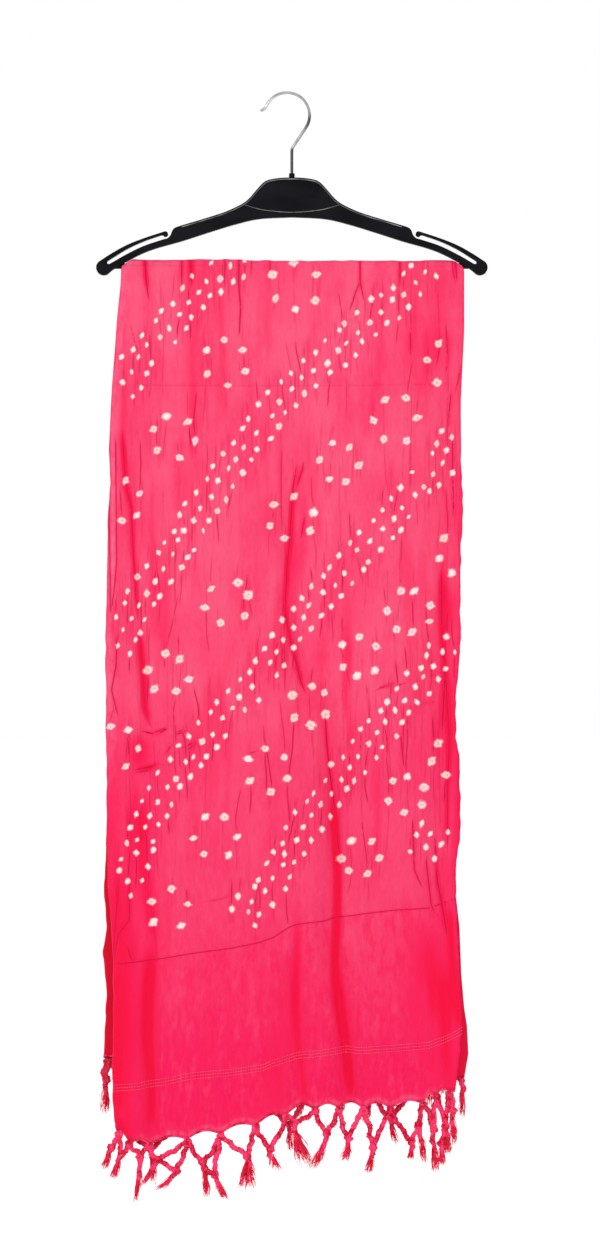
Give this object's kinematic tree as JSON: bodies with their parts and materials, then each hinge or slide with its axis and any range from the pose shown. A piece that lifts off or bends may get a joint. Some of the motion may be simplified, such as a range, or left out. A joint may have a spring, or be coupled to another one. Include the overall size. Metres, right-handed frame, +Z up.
{
  "type": "dupatta stole on hanger",
  "caption": "Tie-dyed stole folded lengthwise and hung over a hanger's bar, with knotted fringes at both ends.",
  "frame": {"origin": "inside top of the hook, where the rail bears", "axes": "+Z up, the front of the stole faces -Y, +X to the viewer's right"},
  "size_m": [0.4182, 0.0553, 1.1832],
  "materials": {
    "stole_cloth": "crinkled thin cotton, hot pink with cream tie-dyed dots",
    "fringe_yarn": "twisted and knotted yarn ends",
    "hanger_plastic": "black, faint satin",
    "hook_chrome": "bright plated wire"
  },
  "bodies": {
    "root": {"stole_front": "stole_cloth", "stole_back": "stole_cloth", "fringe_front": "fringe_yarn", "fringe_back": "fringe_yarn", "hanger_body": "hanger_plastic", "hanger_bar": "hanger_plastic", "hanger_hook": "hook_chrome"}
  },
  "joints": []
}
